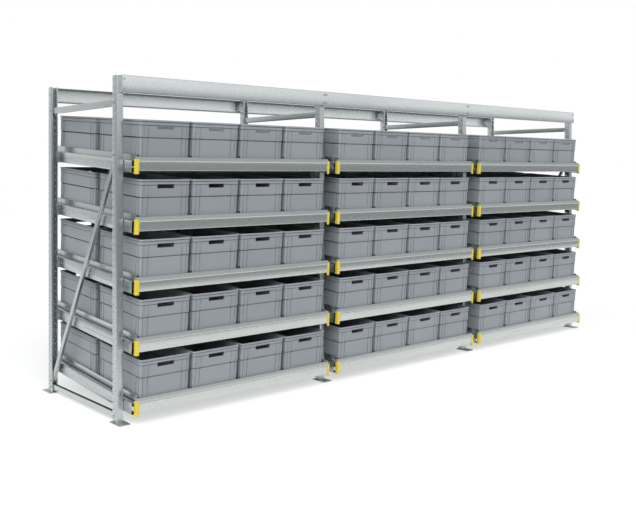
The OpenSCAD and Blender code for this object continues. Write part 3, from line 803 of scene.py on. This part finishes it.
for bay in range(bay_count):
    for tier in range(tier_count):
        node = f"bins_bay_{bay + 1}_tier_{tier + 1}"
        mesh = bins_mesh.copy()
        mesh.name = node.replace("bins", "grey_bins")
        moved = rest.reshape(-1, 3) + (post_x[bay], shelf_y, shelf_z[tier])
        mesh.vertices.foreach_set("co", moved.ravel())
        each = np.repeat(tints[bay, tier], len(bin_points))
        mesh.attributes["tint"].data.foreach_set("value", each)
        place_piece(mesh, node, [node])


# The studio: a plain pale floor under a white surround, which the camera and the gloss of the metal both see.
# Four grey cards out of the camera's sight, behind it, at the left, overhead and on the floor, give the steel
# a darker room to reflect.
floor_half, floor_colour = 30.0, (198, 199, 200)
ambient, floor_glow = 0.28, 0.57
card_y, card_half, card_high, card_tone = -7.2, 25.0, 2.2, 0.3
ceiling_z, ceiling_front, ceiling_rear, ceiling_tone = 6.0, -5.2, 9.0, 0.5
mat_y, mat_z, mat_tone = -2.9, 0.004, 0.33
screen_x, screen_rear, screen_high, screen_tone = -7.0, 8.4, 3.2, 0.4
pure_white, card_tint = (1.0, 1.0, 1.0, 1.0), (0.92, 1.0, 1.02, 1.0)


def seen_directly(tree):
    """1 for rays from the camera and for those that a gloss or a clear surface sends on, otherwise 0."""
    rays = add_node(tree, "LightPath").outputs
    sight = rays["Is Camera Ray"]
    for other in ("Is Glossy Ray", "Is Transmission Ray"):
        sight = add_node(tree, "Math", {0: sight, 1: rays[other]}, operation="MAXIMUM").outputs[0]
    return sight


world = bpy.data.worlds.new("studio")
bpy.context.scene.world = world
world.use_nodes = True
air = world.node_tree
air.nodes.clear()
around = add_node(air, "Background", {"Color": pure_white, "Strength": ambient})
white = add_node(air, "Background", {"Color": pure_white, "Strength": 1.0})
surround = add_node(air, "MixShader", {0: seen_directly(air), 1: around.outputs[0], 2: white.outputs[0]})
add_node(air, "OutputWorld", {"Surface": surround.outputs[0]})

floor_paint, paint = new_material("floor_paint")
matt = add_node(paint, "BsdfDiffuse", {"Color": screen_colour(*floor_colour)})
glow = add_node(paint, "Math", {0: seen_directly(paint), 1: floor_glow}, operation="MULTIPLY")
lift = add_node(paint, "Emission", {"Strength": glow.outputs[0]})
painted = add_node(paint, "AddShader", {0: matt.outputs[0], 1: lift.outputs[0]})
add_node(paint, "OutputMaterial", {"Surface": painted.outputs[0]})


def card_paint(name, tone):
    """An even grey that reflections see."""
    material, tree = new_material(name)
    grey = add_node(tree, "Emission", {"Color": card_tint, "Strength": tone})
    add_node(tree, "OutputMaterial", {"Surface": grey.outputs[0]})
    return material


def flat_stage(name, corners, material):
    """A flat four-cornered sheet that isn't part of the object."""
    mesh = bpy.data.meshes.new(name)
    mesh.from_pydata(corners, [], [(0, 1, 2, 3)])
    mesh.materials.append(material)
    sheet = bpy.data.objects.new(name, mesh)
    bpy.context.scene.collection.objects.link(sheet)
    return sheet


card_ends = (-card_half, card_half, card_half, -card_half)
floor_corners = [(x * floor_half, y * floor_half, 0) for x, y in ((-1, -1), (1, -1), (1, 1), (-1, 1))]
flat_stage("floor", floor_corners, floor_paint)
wall_corners = list(zip(card_ends, [card_y] * 4, (0, 0, card_high, card_high)))
wall_card = flat_stage("wall_card", wall_corners, card_paint("wall_grey", card_tone))
mat_corners = list(zip(card_ends, (card_y, card_y, mat_y, mat_y), [mat_z] * 4))
floor_card = flat_stage("floor_card", mat_corners, card_paint("mat_grey", mat_tone))
screen_sides = (mat_y, screen_rear, screen_rear, mat_y)
screen_corners = list(zip([screen_x] * 4, screen_sides, (0, 0, screen_high, screen_high)))
left_card = flat_stage("left_card", screen_corners, card_paint("screen_grey", screen_tone))
ceiling_sides = (ceiling_front, ceiling_front, ceiling_rear, ceiling_rear)
ceiling_corners = list(zip(card_ends, ceiling_sides, [ceiling_z] * 4))
ceiling_card = flat_stage("ceiling_card", ceiling_corners, card_paint("ceiling_grey", ceiling_tone))
for card in (wall_card, floor_card, left_card, ceiling_card):
    card.visible_camera = False
    card.visible_diffuse = False
    card.visible_shadow = False


# Studio lamps: wide soft lights, the main one from the front left above, a weaker one from the left end.
# They are far away, so all three bays are lit alike.
def soft_lamp(name, strength, spread, toward):
    """A broad distant light that shines along the way given."""
    lamp = bpy.data.lights.new(name, "SUN")
    lamp.energy = strength
    lamp.angle = radians(spread)
    holder = bpy.data.objects.new(name, lamp)
    holder.rotation_mode = "QUATERNION"
    holder.rotation_quaternion = Vector(toward).to_track_quat("-Z", "Y")
    bpy.context.scene.collection.objects.link(holder)


soft_lamp("main_light", strength=2.25, spread=50, toward=(0.45, 0.75, -0.75))
soft_lamp("side_light", strength=0.7, spread=60, toward=(0.95, -0.15, -0.35))


# The camera: level, at eye height off the front left corner, as the photograph was taken.
# Its frame is moved aside and down a little, which keeps the uprights upright in the picture.
image_w, image_h, sensor_w = 636, 507, 36.0
focal_px, axis_px, horizon_px = 838.3, 308.46, 172.96
camera_place, camera_yaw = (-5.379, -5.597, 1.672), 40.541
lens = bpy.data.cameras.new("camera")
lens.sensor_fit = "HORIZONTAL"
lens.sensor_width = sensor_w
lens.lens = focal_px / image_w * sensor_w
lens.shift_x = (image_w / 2 - axis_px) / image_w
lens.shift_y = (horizon_px - image_h / 2) / image_w
camera = bpy.data.objects.new("camera", lens)
camera.location = camera_place
camera.rotation_euler = (radians(90), 0, radians(-camera_yaw))
bpy.context.scene.collection.objects.link(camera)
bpy.context.scene.camera = camera
bpy.context.scene.view_settings.view_transform = "Standard"
